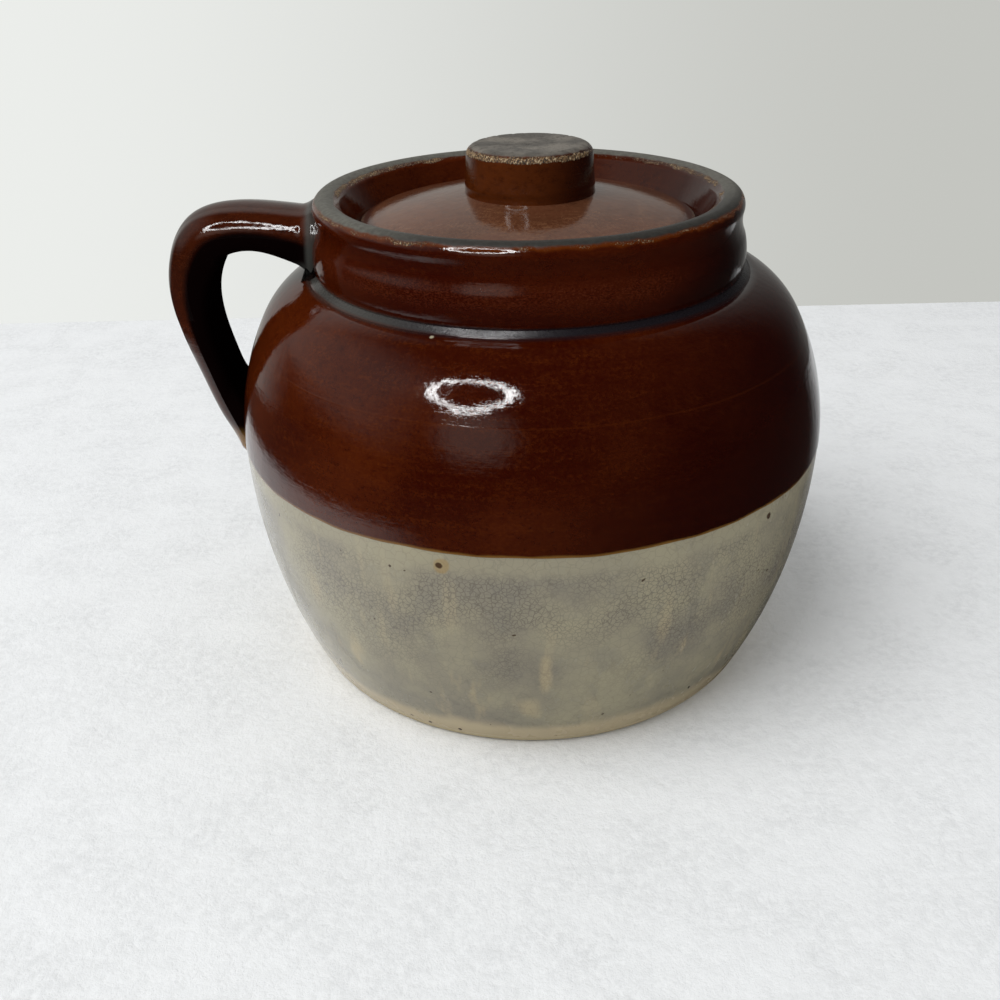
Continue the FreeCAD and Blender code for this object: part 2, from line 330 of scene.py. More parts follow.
def turnedPiece(name, outline, materials, steps, shape=None, ringMaterial=None):
    # outline runs round a closed half section; ends on the axis close to a single point
    rings = []
    points = []
    for radius, height in outline:
        if radius < 1e-6:
            rings.append([len(points)] * steps)
            points.append((0, 0, height * mm))
            continue
        rings.append(range(len(points), len(points) + steps))
        for step in range(steps):
            angle = 2 * math.pi * step / steps
            r, z = shape(radius, height, angle) if shape else (radius, height)
            points.append((r * math.cos(angle) * mm, r * math.sin(angle) * mm, z * mm))
    faces = []
    faceMaterials = []
    closed = outline[0][0] > 1e-6
    pairs = list(zip(rings, rings[1:])) + ([(rings[-1], rings[0])] if closed else [])
    for index, (low, high) in enumerate(pairs):
        for step in range(steps):
            after = (step + 1) % steps
            corners = [low[step], low[after], high[after], high[step]]
            corners = list(dict.fromkeys(corners))
            if len(corners) > 2:
                faces.append(corners)
                faceMaterials.append(ringMaterial(index) if ringMaterial else 0)
    return meshPiece(name, points, faces, materials, faceMaterials)


# vessel

vessel = dict(
    glaze=0.4,
    lineHeight=76.0,
    bellyRadius=92.5, bellyHeight=73.0,
    footRadius=76.8, footRound=1.0,
    sweepRadius=79.6, breakHeight=112.0,
    shoulderRadius=27.6,
    grooveRadius=67.2, grooveRise=1.8,
    collarRadius=64.9, collarFootIn=0.3, collarSwell=5.4,
    waistRadius=63.0, waistRise=13.2, turnShare=0.6,
    collarHeight=20.9,
    rimRadius=63.3, rimDrop=3.8, crownRadius=60.4,
    mouthRadius=55.9, mouthDrop=1.8, mouthShare=0.32,
    wall=6.5, neckExtra=1.5, floor=9.0, floorCorner=14.0,
    seatDepth=12.3, seatRadius=51.2,
    throatRadius=45.0, throatDepth=4.2, slopeDrop=6.0,
    shellThickness=2.4,   # thickness of each glazed skin of the model inside the wall
    lineWave=0.55,        # the glaze line wanders up and down by about this much
    unevenness=0.22,      # the wall wanders inward by about this much
    flatSide=0.9,         # the side by the handle was pressed in this far
    flatTurn=0.12,           # angle of that side, in radians from the handle
    # lower edge of the brown glaze: inward from the wall, up from the line
    lip=[(0.6, 0.5), (0.28, 0.0), (0.08, 0.2)],
    lineReach=8.0, lineSeen=6.0,   # how far from the line its wander, and its gold edge, can be felt
    floorBack=2.5, backStep=3.0, steps=480, linerSteps=240,
)

v = vessel
lowerBulge = v["bellyRadius"] - v["footRadius"]
lowerArc = (lowerBulge ** 2 + v["bellyHeight"] ** 2) / (2 * lowerBulge)
lowerCentre = (v["bellyRadius"] - lowerArc, v["bellyHeight"])
footAngle = -math.asin(v["bellyHeight"] / lowerArc)
sweepCentre = (v["bellyRadius"] - v["sweepRadius"], v["bellyHeight"])
breakAngle = math.asin((v["breakHeight"] - v["bellyHeight"]) / v["sweepRadius"])
shoulderCentre = onCircle(sweepCentre, v["sweepRadius"] - v["shoulderRadius"], breakAngle)
neckAngle = math.acos((v["grooveRadius"] - shoulderCentre[0]) / v["shoulderRadius"])
neckHeight = shoulderCentre[1] + v["shoulderRadius"] * math.sin(neckAngle)
collarFoot = neckHeight + v["grooveRise"]
rimHeight = collarFoot + v["collarHeight"]
seatHeight = rimHeight - v["seatDepth"]


def wallRadius(height):
    # outside of the glazed wall, foot to neck
    if height <= v["bellyHeight"]:
        centre, radius = lowerCentre, lowerArc
    elif height <= v["breakHeight"]:
        centre, radius = sweepCentre, v["sweepRadius"]
    else:
        centre, radius = shoulderCentre, v["shoulderRadius"]
    radius += v["glaze"]
    return centre[0] + math.sqrt(max(0.0, radius ** 2 - (height - centre[1]) ** 2))


def wallPoints(low, high, spacing, inset=0.0):
    count = round((high - low) / spacing)
    heights = [low + (high - low) * step / count for step in range(count)]
    return [(wallRadius(height) - inset, height) for height in heights]


def lineWave(angle):
    return v["lineWave"] * (0.5 * math.sin(angle * 3 + 0.6) + 0.3 * math.sin(angle * 7 + 2.1)
                            + 0.25 * math.sin(angle * 17 + 4.0) + 0.12 * math.sin(angle * 41 + 1.0))


def handBuilt(radius, height, angle):
    # small inward wander of a hand-finished wall, and the side that was pressed in
    place = Vector((math.cos(angle), math.sin(angle), height / v["bellyRadius"])) * 2.2
    wander = v["unevenness"] * (0.5 + 0.5 * noise.noise(place))
    swell = math.sin(math.pi * min(1, height / rimHeight))
    pressed = v["flatSide"] * max(0.0, -math.cos(angle - v["flatTurn"])) ** 3 * swell
    return radius - wander - pressed, height


def upperShape(radius, height, angle):
    radius, height = handBuilt(radius, height, angle)
    near = max(0.0, 1 - abs(height - v["lineHeight"]) / v["lineReach"])
    return radius, height + lineWave(angle) * near


def collarPoints():
    glaze = v["glaze"]
    neck = onCircle(shoulderCentre, v["shoulderRadius"] + glaze, neckAngle)
    foot = (v["collarRadius"] - v["collarFootIn"] + glaze, collarFoot)
    grooveMiddle = (foot[0] + (neck[0] - foot[0]) * 0.15, neck[1] + (foot[1] - neck[1]) * 0.15)
    swell = (v["collarRadius"] + glaze, collarFoot + v["collarSwell"])
    turn = (v["waistRadius"] + (v["collarRadius"] - v["waistRadius"]) * v["turnShare"] + glaze,
            collarFoot + (v["collarSwell"] + v["waistRise"]) / 2)
    waist = (v["waistRadius"] + glaze, collarFoot + v["waistRise"])
    corner = (v["rimRadius"] + glaze, rimHeight - v["rimDrop"])
    crown = (v["crownRadius"], rimHeight + glaze)
    rimTurn = (crown[0] + (corner[0] - crown[0]) * math.sin(math.pi / 4),
               corner[1] + (crown[1] - corner[1]) * math.cos(math.pi / 4))
    mouth = (v["mouthRadius"] - glaze, rimHeight - v["mouthDrop"])
    mouthMiddle = ((crown[0] + mouth[0]) / 2, crown[1] - v["mouthDrop"] * v["mouthShare"])
    points = arcPoints(neck, grooveMiddle, foot, 0.25)
    points += arcPoints(foot, swell, turn, 0.7)
    points += arcPoints(turn, waist, corner, 0.7)
    points += arcPoints(corner, rimTurn, crown, 0.3)
    points += arcPoints(crown, mouthMiddle, mouth, 0.3)
    return points, neck, mouth


# materials

brownTones = dict(
    deep=(44, 6, 1),
    body=(67, 23, 5),
    fleck=(100, 46, 9),
    fleckAmount=0.3,
    # painted shade for the side of the pot turned from the light
    paintedShadeSide=(26, 2, 1),
    lineGold=(132, 96, 46),
    rimGrey=(98, 97, 89),
    rimDark=(74, 71, 64),
    # painted dark reflection for the front of the rim
    rimFrontReflection=(27, 24, 22),
    grooveDark=(23, 21, 26),
    # grey of glaze pooled at the handle's root, and a painted highlight in the groove
    pooledGreyAndSheen=(62, 62, 59),
    collarPink=(112, 58, 38),
    # painted shade: near black for the handle's inner side and the collar's shaded side
    paintedShadeBlack=(9, 3, 3),
)


def brownBase(here, tones=brownTones):
    return useGroup(mottleGroup, {
        "Place": here["Place"], "Deep": colour(*tones["deep"]), "Body": colour(*tones["body"]),
        "Fleck": colour(*tones["fleck"]), "Fleck Amount": tones["fleckAmount"]})


upperMarks = dict(
    creamChip=dict(angle=-113.9, radius=68.2, height=124.5, size=1.1),
    curl=dict(angle=-107.6, radius=79.8, height=116.2, size=2.9, edge=0.5),
    curlMiddle=dict(angle=-107.6, radius=79.8, height=116.2, size=1.7, edge=0.5),
)
upperGlaze = dict(
    # painted shade: darker away from the handle, on the side turned from the light, and from lower down the
    # wall
    darkHeight=85.0, darkLean=0.55, darkWander=(0.02, 2.0), darkWanderWidth=30.0,
    paintedShadeAcross=(-18.0, 82.0), darkShare=0.92,
    # collar: heights above its foot
    collarFrom=(0.12, 1.62), collarRadius=(58.0, 60.0), collarShare=0.45,
    # painted shade on the collar's side turned from the light
    collarShade=(0.0, 32.0), collarShadeShare=0.85,
    speckle=(1.5, 3.0, 0.7, (1, 1, 2), 3.0, 0.44, 0.7), speckleBand=(5.12, 11.12, 2.0),
    speckleAcross=(25.0, -5.0), speckleShare=0.28,
    groove=(-1.48, 0.42, 0.5), grooveRadius=(58.0, 61.0), grooveShare=0.95,
    # the groove's painted grey highlight lies on its left
    grooveSheenAcross=(-22.0, -54.0), grooveMatte=0.4,
    # seam and glaze line
    seam=(108.7, 109.0, 0.25), seamWander=(0.03, 2.0), seamWanderWidth=0.8, seamShare=0.14,
    lineEdge=(1.1, 0.2), lineLeast=0.5, lineWander=(0.12, 3.0), lineMore=1.2, lineShare=0.85,
    # rim: heights from its top, and radii from its crown
    rimWander=(0.22, 3.0), rimWanderWidth=1.6, crown=60.2,
    land=(-3.0, 2.3, 0.45), landFrom=(-3.28, -2.08),
    greyMottle=(0.8, 4.0, 0.65, (1, 1, 1), 19.0, 0.3, 0.7),
    frontLean=0.35, front=(-18.0, -52.0), frontShare=0.8,
    innerEdge=(-4.4, -2.9, 0.4), innerFrom=(-5.78, -4.28), innerShare=0.7,
    outerEdge=(2.2, 2.9, 0.3), outerFrom=(-2.38, -1.68), outerShare=0.6,
    worn=(0.07, 3.0, 0.6, (1, 1, 1), 37.0, 0.3, 0.66), wornShare=0.75,
    landRough=0.5, wornRough=0.6, markRag=0.2,
    # rises and dips, as shares of depth
    depth=0.12, wornRise=1.2, landRise=0.4, seamRise=0.12, curlDip=0.5, gloss=0.5,
)


def makeUpperGlaze():
    material, shader, here = newMaterial("upperBrownGlaze")
    height, radius, place = here["Height"], here["Radius"], here["Place"]
    tones, u = brownTones, upperGlaze
    glaze = brownBase(here)
    axes = addNode("ShaderNodeSeparateXYZ", {0: place}).outputs
    # painted shade: the brown is darker on the side away from the handle, which is turned from the light
    lean = both(calc("SUBTRACT", height, u["darkHeight"]), u["darkLean"])
    across = calc("SUBTRACT", axes["X"], lean)
    wander = both(grain(place, *u["darkWander"]), u["darkWanderWidth"])
    darker = ramp(calc("ADD", across, wander), *u["paintedShadeAcross"])
    tint = paint(glaze["Colour"], darker, tones["paintedShadeSide"], u["darkShare"])
    # the collar is darker than the shoulder, with a band of faint pinkish speckle at mid height
    aboveFoot = calc("SUBTRACT", height, collarFoot)
    collar = both(ramp(aboveFoot, *u["collarFrom"]), ramp(radius, *u["collarRadius"]))
    tint = paint(tint, collar, tones["deep"], u["collarShare"])
    # painted shade: the collar goes near black on the side turned from the light
    collarShade = both(collar, ramp(across, *u["collarShade"]))
    tint = paint(tint, collarShade, tones["paintedShadeBlack"], u["collarShadeShare"])
    speckleBand = both(band(aboveFoot, *u["speckleBand"]), ramp(across, *u["speckleAcross"]))
    speckle = both(speckleBand, patches(place, u["speckle"]))
    tint = paint(tint, speckle, tones["collarPink"], u["speckleShare"])
    # the groove is dark where glaze pooled, with a painted grey highlight towards the left
    groove = both(band(aboveFoot, *u["groove"]), ramp(radius, *u["grooveRadius"]))
    grooveTint = mixColour(ramp(axes["X"], *u["grooveSheenAcross"]), colour(*tones["grooveDark"]),
                           colour(*tones["pooledGreyAndSheen"]))
    tint = mixColour(both(groove, u["grooveShare"]), tint, grooveTint)
    # faint seam where the two halves were joined
    wander = both(grain(place, *u["seamWander"]), u["seamWanderWidth"])
    seam = band(calc("ADD", height, wander), *u["seam"])
    tint = paint(tint, seam, tones["fleck"], u["seamShare"])
    # gold edge of the glaze at the line
    lineWidth = calc("ADD", u["lineLeast"], both(grain(place, *u["lineWander"]), u["lineMore"]))
    gold = ramp(calc("DIVIDE", attribute("lineDistance"), lineWidth), *u["lineEdge"])
    tint = paint(tint, gold, tones["lineGold"], u["lineShare"])
    # rim: matte grey land, gritty at both edges
    fromTop = calc("SUBTRACT", height, rimHeight)
    crown = calc("SUBTRACT", radius, u["crown"])
    crown = calc("ADD", crown, centred(place, u["rimWander"], u["rimWanderWidth"]))
    land = both(band(crown, *u["land"]), ramp(fromTop, *u["landFrom"]))
    greyMottle = patches(place, u["greyMottle"])
    rimTint = mixColour(greyMottle, colour(*tones["rimDark"]), colour(*tones["rimGrey"]))
    # painted reflection: the front of the rim is darkened as if mirroring the dark room
    front = calc("SUBTRACT", axes["Y"], both(axes["X"], u["frontLean"]))
    rimTint = paint(rimTint, ramp(front, *u["front"]), tones["rimFrontReflection"], u["frontShare"])
    tint = mixColour(land, tint, rimTint)
    innerEdge = both(band(crown, *u["innerEdge"]), ramp(fromTop, *u["innerFrom"]))
    outerEdge = both(band(crown, *u["outerEdge"]), ramp(fromTop, *u["outerFrom"]))
    edges = calc("MAXIMUM", both(innerEdge, u["innerShare"]), both(outerEdge, u["outerShare"]))
    tint = paint(tint, outerEdge, tones["fleck"], u["outerShare"])
    cover = both(patches(place, u["worn"]), u["wornShare"])
    wear = useGroup(wearGroup, {"Place": place, "Band": edges, "Cover": cover})
    tint = mixColour(wear["Mask"], tint, wear["Colour"])
    chip = mark(place, upperMarks["creamChip"])
    tint = paint(tint, chip, buffTones["cream"])
    curl, middle = (mark(place, upperMarks[name], u["markRag"]) for name in ("curl", "curlMiddle"))
    curl = calc("SUBTRACT", curl, middle, True)
    rough = mixValue(land, glaze["Roughness"], u["landRough"])
    matte = calc("MAXIMUM", wear["Mask"], both(groove, u["grooveMatte"]))
    rough = mixValue(matte, rough, u["wornRough"])
    relief = total(glaze["Height"], both(wear["Height"], u["wornRise"]),
                   both(land, greyMottle, u["landRise"]), both(seam, u["seamRise"]))
    relief = calc("SUBTRACT", relief, calc("ADD", both(curl, u["curlDip"]), chip))
    finishSurface(shader, tint, rough, relief, u["depth"], u["gloss"])
    return material


handleTones = dict(brownTones, deep=(34, 8, 3), body=(58, 20, 6), fleck=(84, 40, 16))
handleGlaze = dict(
    innerFrom=(0.4, 0.58),   # shares of the way to the inner face
    # grey where glaze pooled at the upper root
    poolGap=(2.4, 0.6), poolHeight=(108.0, 118.0), poolShare=0.8,
    crookHeight=(131.0, 127.5), crookRadius=(74.0, 71.0),
    tip=(79.0, 72.5), tipShare=0.8, depth=0.12,
)


def makeHandleGlaze(name, gloss):
    # glossy brown outside; the side towards the finger gap is painted nearly black as shade
    material, shader, here = newMaterial(name)
    height, h = here["Height"], handleGlaze
    glaze = brownBase(here, handleTones)
    # painted shade: the side towards the finger gap goes near black
    inner = ramp(attribute("depthShare"), *h["innerFrom"])
    tint = paint(glaze["Colour"], inner, brownTones["paintedShadeBlack"])
    crook = both(ramp(height, *h["crookHeight"]), ramp(here["Radius"], *h["crookRadius"]))
    pool = calc("MAXIMUM", ramp(attribute("rootGap"), *h["poolGap"]), crook)
    pool = both(pool, ramp(height, *h["poolHeight"]))
    tint = paint(tint, pool, brownTones["pooledGreyAndSheen"], h["poolShare"])
    tint = paint(tint, ramp(height, *h["tip"]), brownTones["lineGold"], h["tipShare"])
    finishSurface(shader, tint, glaze["Roughness"], glaze["Height"], h["depth"], gloss)
    return material


linerGlaze = dict(rings=(0.02, 3.0, 0.5, (1, 1, 14)), ringRise=1.5, depth=0.15, gloss=0.4)


def makeLinerGlaze():
    material, shader, here = newMaterial("linerBrownGlaze")
    glaze = brownBase(here)
    rings = grain(here["Place"], *linerGlaze["rings"])
    relief = calc("ADD", glaze["Height"], both(rings, linerGlaze["ringRise"]))
    finishSurface(shader, glaze["Colour"], glaze["Roughness"], relief, linerGlaze["depth"],
                  linerGlaze["gloss"])
    return material


buffTones = dict(
    grey=(142, 136, 121),
    cream=(164, 157, 133),
    shade=(132, 128, 117),
    drip=(192, 175, 139),
    foot=(196, 180, 148),
    clay=(186, 172, 140),
    craze=(90, 82, 78),
    speck=(58, 34, 20),
    halo=(158, 128, 72),
)
lowerMarks = dict(
    halo=dict(angle=-107.0, radius=92.7, height=72.4, size=4.4, tone="halo", share=0.5),
    haloSpeck=dict(angle=-107.5, radius=92.7, height=72.6, size=1.9),
    darkTick=dict(angle=-47.4, radius=92.7, height=72.1, size=2.0),
    smallSpeck=dict(angle=-116.3, radius=92.7, height=69.4, size=0.9),
    footSpeck=dict(angle=-115.8, radius=78.9, height=4.0, size=1.2),
    footSpeckTwo=dict(angle=-108.6, radius=78.9, height=4.0, size=1.4),
)
lowerDrips = dict(
    long=dict(angle=-90.2, radius=88.6, height=33.0, size=4.4, tall=11.0, edge=0.2, share=0.55),
    foot=dict(angle=-93.2, radius=84.6, height=20.0, size=7.6, tall=1.7, edge=0.1, share=0.5),
    right=dict(angle=-69.0, radius=90.5, height=48.0, size=5.0, tall=4.0, edge=0.1),
    left=dict(angle=-136.0, radius=90.5, height=50.0, size=7.0, tall=2.6, edge=0.1),
    leftLow=dict(angle=-128.0, radius=87.8, height=33.0, size=6.5, tall=2.4, edge=0.1),
)
buffGlaze = dict(
    # patches: scale, detail, roughness, stretch, offset, start, full
    cloud=(0.03, 4.0, 0.55, (1, 1, 1), 0.0, 0.38, 0.64),
    shade=(0.09, 4.0, 0.6, (1, 1, 0.7), 41.0, 0.46, 0.68), shadeShare=0.4,
    runs=(0.11, 3.0, 0.6, (1, 1, 0.12), 5.0, 0.58, 0.7), runsBand=(8.0, 46.0, 12.0), runsShare=0.5,
    pale=(0.13, 3.0, 0.6, (1, 1, 0.15), 71.0, 0.56, 0.7), paleShare=0.25, dripShare=0.3,
    margin=(69.0, 73.5), marginWander=3.0, marginShare=0.6,
    dense=(0.05, 2.0, 0.5, (1, 1, 1), 9.0, 0.3, 0.6), denseFrom=(18.0, 45.0), denseTo=(73.0, 68.0),
    # crack nets: cell, width
    nets=[(1.4, 0.11), (2.6, 0.06)], wideShare=0.35, netShare=0.6,
    footWander=(0.06, 3.0), footWanderWidth=9.0, footBand=(12.5, 7.0), footShare=0.85,
    bare=(3.4, 2.2), bareWander=0.15,
    specks=(0.32, 1.0, 0.5, (1, 1, 1), 23.0, 0.775, 0.8), specksShare=0.8, markShare=0.9,
    rough=0.2, shadeRough=0.15, bareRough=0.75,
    peel=(0.4, 3.0), peelRise=0.8, netDip=0.1, depth=0.12, coat=0.45, coatRough=0.12,
)


def makeBuffGlaze():
    material, shader, here = newMaterial("buffClearGlaze")
    height, place = here["Height"], here["Place"]
    tones, b = buffTones, buffGlaze
    tint = mixColour(patches(place, b["cloud"]), colour(*tones["grey"]), colour(*tones["cream"]))
    shade = patches(place, b["shade"])
    tint = paint(tint, shade, tones["shade"], b["shadeShare"])
    # paler runs down the wall
    runs = both(patches(place, b["runs"]), band(height, *b["runsBand"]))
    tint = paint(tint, runs, tones["drip"], b["runsShare"])
    tint = paint(tint, patches(place, b["pale"]), tones["clay"], b["paleShare"])
    for drip in lowerDrips.values():
        tint = paint(tint, mark(place, drip), tones["drip"], drip.get("share", b["dripShare"]))
    # a paler margin just under the brown glaze
    margin = ramp(calc("ADD", height, both(shade, b["marginWander"])), *b["margin"])
    tint = paint(tint, margin, tones["cream"], b["marginShare"])
    # crazing is closest in the upper part
    dense = both(ramp(height, *b["denseFrom"]), patches(place, b["dense"]),
                 ramp(height, *b["denseTo"]))
    fineNet, wideNet = (useGroup(crazeGroup, {"Place": place, "Cell": cell, "Width": width})["Mask"]
                        for cell, width in b["nets"])
    net = calc("MAXIMUM", both(fineNet, dense), both(wideNet, b["wideShare"]))
    tint = paint(tint, net, tones["craze"], b["netShare"])
    # the foot: thinner glaze, then bare clay
    wander = centred(place, b["footWander"], b["footWanderWidth"])
    footBand = ramp(calc("ADD", height, wander), *b["footBand"])
    tint = paint(tint, footBand, tones["foot"], b["footShare"])
    bare = ramp(calc("ADD", height, both(wander, b["bareWander"])), *b["bare"])
    tint = paint(tint, bare, tones["clay"])
    tint = paint(tint, patches(place, b["specks"]), tones["speck"], b["specksShare"])
    for spot in lowerMarks.values():
        tone, share = spot.get("tone", "speck"), spot.get("share", b["markShare"])
        tint = paint(tint, mark(place, spot), tones[tone], share)
    rough = calc("ADD", b["rough"], both(shade, b["shadeRough"]))
    rough = mixValue(bare, rough, b["bareRough"])
    peel = both(grain(place, *b["peel"]), b["peelRise"])
    relief = calc("SUBTRACT", peel, both(net, b["netDip"]))
    finishSurface(shader, tint, rough, relief, b["depth"])
    joinTo(shader, {"Coat Weight": mixValue(bare, b["coat"], 0.0)})
    shader.inputs["Coat Roughness"].default_value = b["coatRough"]
    return material


lidTones = dict(brownTones, deep=(64, 36, 22), body=(92, 54, 36), fleck=(122, 86, 60), fleckAmount=0.5)
lidGlaze = dict(
    # radii
    margin=(45.8, 47.4), marginShare=0.75, edge=(48.6, 50.6, 0.5), edgeCover=0.3,
    rougher=0.06, depth=0.14, gloss=0.5,
)


def makeLidGlaze():
    material, shader, here = newMaterial("lidBrownGlaze")
    g = lidGlaze
    glaze = brownBase(here, lidTones)
    margin = ramp(here["Radius"], *g["margin"])
    tint = paint(glaze["Colour"], margin, brownTones["deep"], g["marginShare"])
    edge = band(here["Radius"], *g["edge"])
    wear = useGroup(wearGroup, {"Place": here["Place"], "Band": edge, "Cover": g["edgeCover"]})
    tint = mixColour(wear["Mask"], tint, wear["Colour"])
    rough = calc("ADD", glaze["Roughness"], g["rougher"])
    finishSurface(shader, tint, rough, glaze["Height"], g["depth"], g["gloss"])
    return material


bareClay = dict(
    sand=(0.9, 4.0, 0.7), sandFrom=(0.4, 0.65), sandTone=(168, 150, 118),
    iron=(0.6, 1.0, 0.5, (1, 1, 1), 15.0, 0.7, 0.74), rough=0.7, sandRough=0.2, depth=0.2,
)


def makeBareClay():
    material, shader, here = newMaterial("bareClay")
    place, c = here["Place"], bareClay
    sand = grain(place, *c["sand"])
    tint = mixColour(ramp(sand, *c["sandFrom"]), colour(*c["sandTone"]), colour(*buffTones["clay"]))
    tint = paint(tint, patches(place, c["iron"]), buffTones["speck"])
    rough = calc("ADD", c["rough"], both(sand, c["sandRough"]))
    finishSurface(shader, tint, rough, sand, c["depth"])
    return material


knobTones = dict(brownTones, deep=(48, 18, 6), body=(82, 38, 13), topGrey=(84, 80, 74),
                 topPale=(116, 110, 101), topDark=(54, 48, 43))
knobGlaze = dict(
    wander=(0.3, 3.0), wanderWidth=1.4,
    # heights from the knob's top, and radii from its middle
    topFrom=(-1.58, -0.68), topRadius=(17.9, 16.9),
    ring=(-2.48, -0.98, 0.6), ringRadius=(15.6, 16.6),
    smudge=(0.1, 4.0, 0.6, (1, 1, 1), 27.0, 0.42, 0.66),
    grit=(0.9, 3.0, 0.7, (1, 1, 1), 0.0, 0.5, 0.7), gritShare=0.6,
    paintedShadeAcross=(0.0, 17.0), darkShare=0.8,
    dashes=(1, 1, 0.6), worn=(0.16, 2.0, 0.6, (1, 1, 0.3), 61.0, 0.3, 0.6), wornCover=(0.35, 0.72),
    rough=0.55, wornRise=1.4, gritRise=0.5, depth=0.16, gloss=0.45,
)


def makeKnobGlaze():
    material, shader, here = newMaterial("knobGlaze")
    place, k = here["Place"], knobGlaze
    glaze = brownBase(here, knobTones)
    flat = vectorCalc("MULTIPLY", vectorCalc("SUBTRACT", place, (knob["offset"], 0, 0)), (1, 1, 0))
    fromCentre = vectorCalc("LENGTH", flat)
    wander = centred(place, k["wander"], k["wanderWidth"])
    fromTop = calc("SUBTRACT", here["Height"], lidTop + knob["rise"])
    fromTop = calc("ADD", fromTop, wander)
    top = both(ramp(fromTop, *k["topFrom"]),
               ramp(calc("ADD", fromCentre, wander), *k["topRadius"]))
    grit = patches(place, k["grit"])
    topTint = mixColour(patches(place, k["smudge"]), colour(*knobTones["topGrey"]),
                        colour(*knobTones["topPale"]))
    topTint = paint(topTint, grit, knobTones["topDark"], k["gritShare"])
    across = addNode("ShaderNodeSeparateXYZ", {0: place}).outputs["X"]
    # painted shade: the knob's side is darker away from the handle, turned from the light
    side = paint(glaze["Colour"], ramp(across, *k["paintedShadeAcross"]), brownTones["paintedShadeSide"], k["darkShare"])
    tint = mixColour(top, side, topTint)
    # the shoulder of the knob is rubbed to a gritty ring of short upright dashes
    dashes = vectorCalc("MULTIPLY", place, k["dashes"])
    cover = mixValue(patches(place, k["worn"]), *k["wornCover"])
    ring = both(band(fromTop, *k["ring"]), ramp(fromCentre, *k["ringRadius"]))
    wear = useGroup(wearGroup, {"Place": dashes, "Band": ring, "Cover": cover})
    tint = mixColour(wear["Mask"], tint, wear["Colour"])
    rough = mixValue(calc("MAXIMUM", top, wear["Mask"]), glaze["Roughness"], k["rough"])
    relief = total(glaze["Height"], both(wear["Height"], k["wornRise"]),
                   both(top, grit, k["gritRise"]))
    finishSurface(shader, tint, rough, relief, k["depth"], k["gloss"])
    return material


# pot pieces

def makeUpperVessel():
    points, neck, mouth = collarPoints()
    thick = v["shellThickness"]
    line = v["lineHeight"]
    lip = [(wallRadius(line) - inward, line + up) for inward, up in v["lip"]]
    outside = lip + wallPoints(line + 0.5, neck[1], 0.9)
    seatEdge = (v["seatRadius"] - v["glaze"], seatHeight + 0.3)
    inside = linePoints(mouth, seatEdge, 0.6)
    inside += linePoints(seatEdge, (v["seatRadius"] - 1.2, seatHeight), 0.3)
    inside += linePoints((v["seatRadius"] - 1.2, seatHeight), (v["throatRadius"] + 0.5, seatHeight), 1.0)
    inside += [(v["throatRadius"] + 0.15, seatHeight - 0.15), (v["throatRadius"], seatHeight - 0.5),
               (v["throatRadius"], seatHeight - 2.0)]
    core = [(v["seatRadius"] + 2, seatHeight - 2.0), (v["mouthRadius"] + 3, rimHeight - 7),
            (v["rimRadius"] - 3, rimHeight - 8), (v["waistRadius"] - thick, collarFoot + 3)]
    back = wallPoints(line + 0.5, neck[1], v["backStep"], thick)[::-1]
    outline = outside + points + inside + core + back
    piece = turnedPiece("upperVessel", outline, [makeUpperGlaze()], v["steps"], upperShape)
    mesh = piece.data
    values = []
    for vertex in mesh.vertices:
        x, y, z = vertex.co
        fromLine = z / mm - line
        seen = fromLine < v["lineSeen"]
        values.append(fromLine - lineWave(math.atan2(y, x)) if seen else v["lineSeen"])
    mesh.attributes.new("lineDistance", "FLOAT", "POINT").data.foreach_set("value", values)
    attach(piece, "pot")
    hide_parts("upper_body", "brown_glaze")
    return piece


def makeLowerVessel():
    thick = v["shellThickness"]
    line = v["lineHeight"]
    foot = (v["footRadius"] - v["footRound"], 0)
    wallStart = (wallRadius(2.0) - v["glaze"], 2.0)
    under = linePoints((0.0, 0.0), foot, 6.0)
    edge = arcPoints(foot, (v["footRadius"] - 0.15, 0.45), wallStart, 0.25)
    wallRun = wallPoints(2.4, 6.0, 0.6, 0.22) + wallPoints(6.0, line + 3.0, 1.0, 0.22)
    back = wallPoints(3.0, line + 3.0, 4.0, thick)[::-1]
    closing = [(v["footRadius"] - 6, v["floorBack"]), (0.0, v["floorBack"])]
    outline = under + edge + wallRun + back + closing
    piece = turnedPiece("lowerVessel", outline, [makeBuffGlaze()], v["steps"], handBuilt)
    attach(piece, "pot")
    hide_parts("lower_body", "buff_glaze")
    return piece


